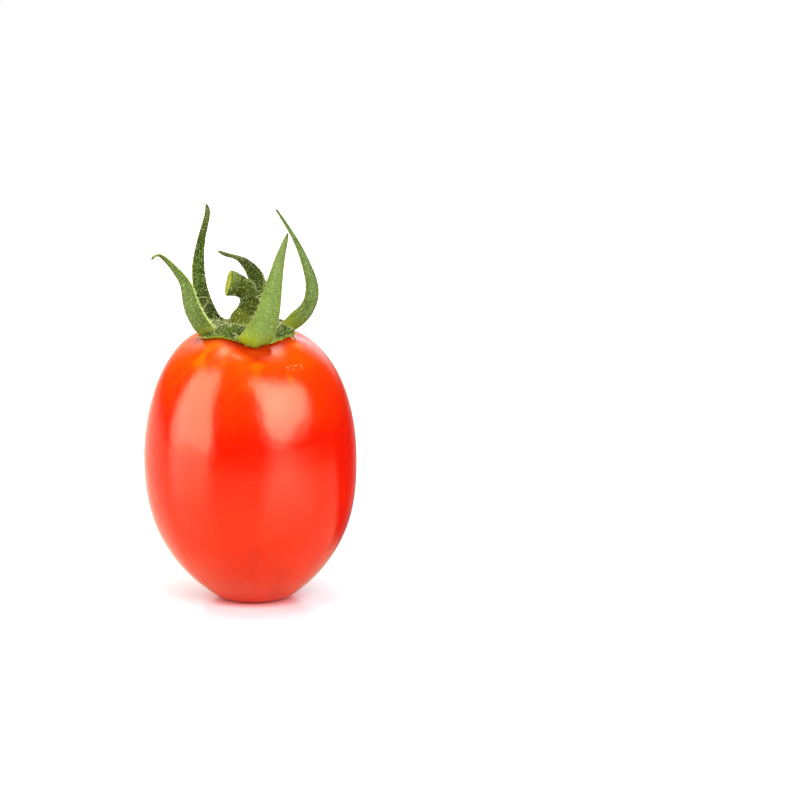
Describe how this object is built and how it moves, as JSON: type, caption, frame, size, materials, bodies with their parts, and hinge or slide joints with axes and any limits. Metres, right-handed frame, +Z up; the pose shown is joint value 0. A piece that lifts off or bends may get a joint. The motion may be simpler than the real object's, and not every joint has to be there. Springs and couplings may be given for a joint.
{
  "type": "mini plum tomato",
  "caption": "Oval glossy red mini plum tomato standing on its blossom end, with upswept green sepals and a short hooked stub of stalk.",
  "frame": {"origin": "centre of the flat patch at the blossom end that the fruit stands on", "axes": "+Z up from the blossom end to the stalk, -Y towards the viewer, +X to the viewer's right"},
  "size_m": [0.03, 0.03, 0.0556],
  "materials": {
    "tomato_skin": "smooth glossy ripe skin, red with an orange cast towards the stalk",
    "sepal_green": "downy leaf, paler outside, dark inside, yellow-green at the root and brown at the tip",
    "stalk_green": "rough hairy dark green stem with a pale yellow-green cut face"
  },
  "bodies": {
    "root": {"fruit": "tomato_skin", "stalk": "stalk_green", "sepal_front": "sepal_green", "sepal_right": "sepal_green", "sepal_back": "sepal_green", "sepal_back_left": "sepal_green", "sepal_left": "sepal_green"}
  },
  "joints": []
}
